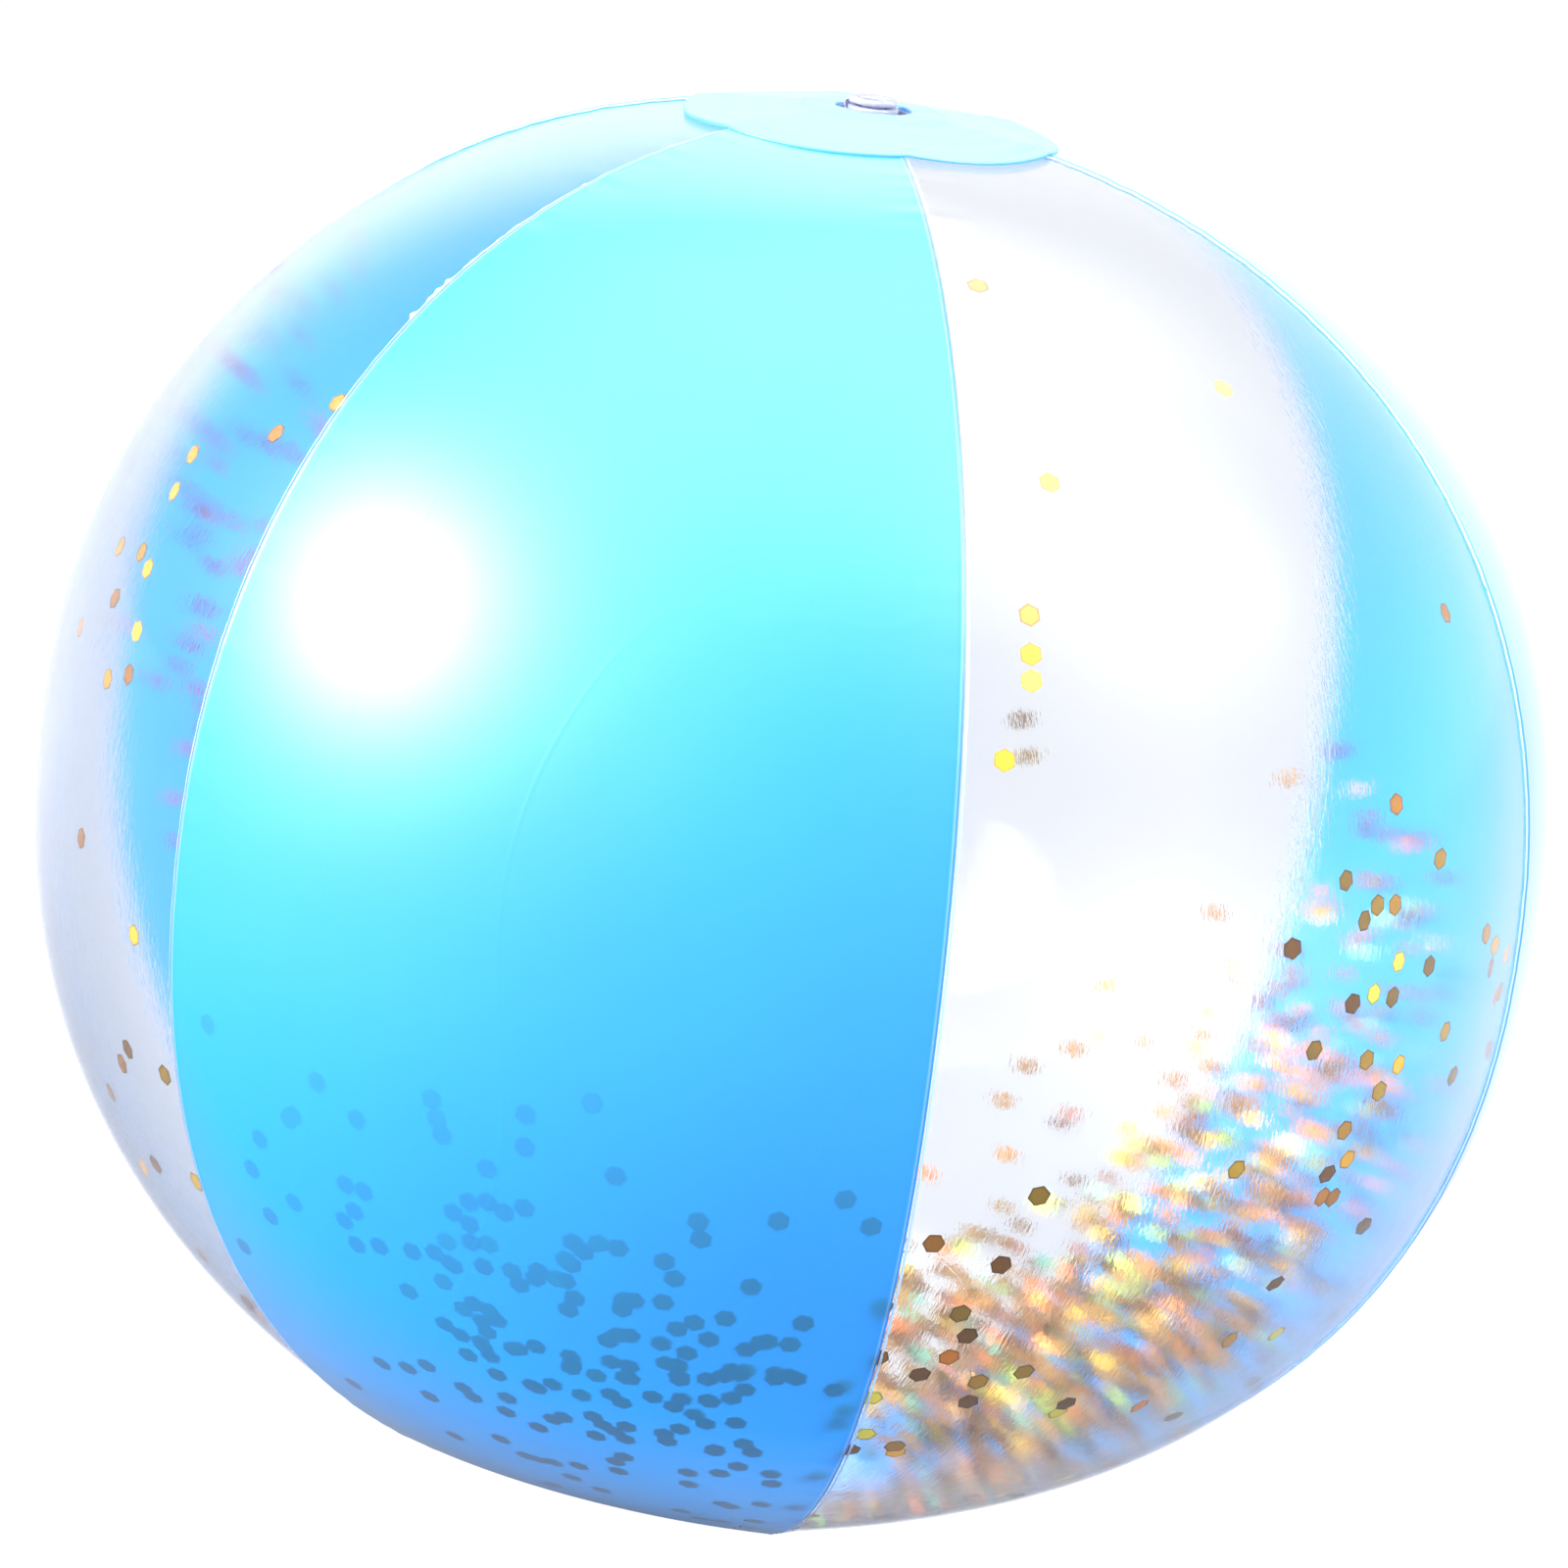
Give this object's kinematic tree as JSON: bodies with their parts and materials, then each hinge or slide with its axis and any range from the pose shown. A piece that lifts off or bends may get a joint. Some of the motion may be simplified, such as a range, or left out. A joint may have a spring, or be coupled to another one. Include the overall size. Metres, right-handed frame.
{
  "type": "inflatable beach ball",
  "caption": "Inflatable beach ball of alternating blue and clear film gores with round end caps, a push-in air valve and loose gold hexagonal sequins inside.",
  "frame": {"origin": "on the surface it rests on, under the middle of the flat on the bottom end cap", "axes": "+Z along the pole axis from the bottom cap to the valve; -Y through the middle of a blue gore; the plug's strap is on the -X side of the valve"},
  "size_m": [0.27, 0.2706, 0.2554],
  "materials": {
    "blue_film": "glossy translucent blue PVC film",
    "clear_film": "glossy clear PVC film with a faint haze and ripple",
    "cap_film": "glossy translucent pale cyan PVC film",
    "valve_vinyl": "soft milky clear vinyl",
    "sequin_gold": "holographic gold metallised film"
  },
  "bodies": {
    "ball": {"gore_blue_1": "blue_film", "gore_blue_2": "blue_film", "gore_blue_3": "blue_film", "gore_clear_1": "clear_film", "gore_clear_2": "clear_film", "gore_clear_3": "clear_film", "top_cap": "cap_film", "bottom_cap": "cap_film", "valve_flange": "valve_vinyl", "valve_skirt": "valve_vinyl", "sequin_01": "sequin_gold", "sequin_02": "sequin_gold", "sequin_03": "sequin_gold", "sequin_04": "sequin_gold", "sequin_05": "sequin_gold", "sequin_06": "sequin_gold", "sequin_07": "sequin_gold", "sequin_08": "sequin_gold", "sequin_09": "sequin_gold", "sequin_10": "sequin_gold", "sequin_11": "sequin_gold", "sequin_12": "sequin_gold", "sequin_13": "sequin_gold", "sequin_14": "sequin_gold", "sequin_15": "sequin_gold", "sequin_16": "sequin_gold", "sequin_17": "sequin_gold", "sequin_18": "sequin_gold", "sequin_19": "sequin_gold", "sequin_20": "sequin_gold", "sequin_21": "sequin_gold", "sequin_22": "sequin_gold", "sequin_23": "sequin_gold", "sequin_24": "sequin_gold", "sequin_25": "sequin_gold", "sequin_26": "sequin_gold", "sequin_27": "sequin_gold", "sequin_28": "sequin_gold", "sequin_29": "sequin_gold", "sequin_30": "sequin_gold", "sequin_31": "sequin_gold", "sequin_32": "sequin_gold", "sequin_33": "sequin_gold", "sequin_34": "sequin_gold", "sequin_35": "sequin_gold", "sequin_36": "sequin_gold", "sequin_37": "sequin_gold", "sequin_38": "sequin_gold", "sequin_39": "sequin_gold", "sequin_40": "sequin_gold"},
    "valve_stem": {"valve_stem": "valve_vinyl"},
    "valve_plug": {"valve_plug": "valve_vinyl"},
    "valve_flap": {"valve_flap": "valve_vinyl"}
  },
  "joints": [
    {"name": "stem_pop", "type": "slide", "parent": "ball", "child": "valve_stem", "axis": [0, 0, 1], "range_m": [0, 0.009], "deforming": ["valve_skirt"]},
    {"name": "plug_hinge", "type": "hinge", "parent": "valve_stem", "child": "valve_plug", "pos_m": [-0.0049, 0, 0.25439], "axis": [0, -1, 0], "range_deg": [0, 150]},
    {"name": "flap_hinge", "type": "hinge", "parent": "valve_stem", "child": "valve_flap", "pos_m": [-0.0044, 0, 0.24269], "axis": [0, 1, 0], "range_deg": [0, 50], "stiffness_Nm_per_rad": 0.00002, "springref_deg": -11.46}
  ]
}
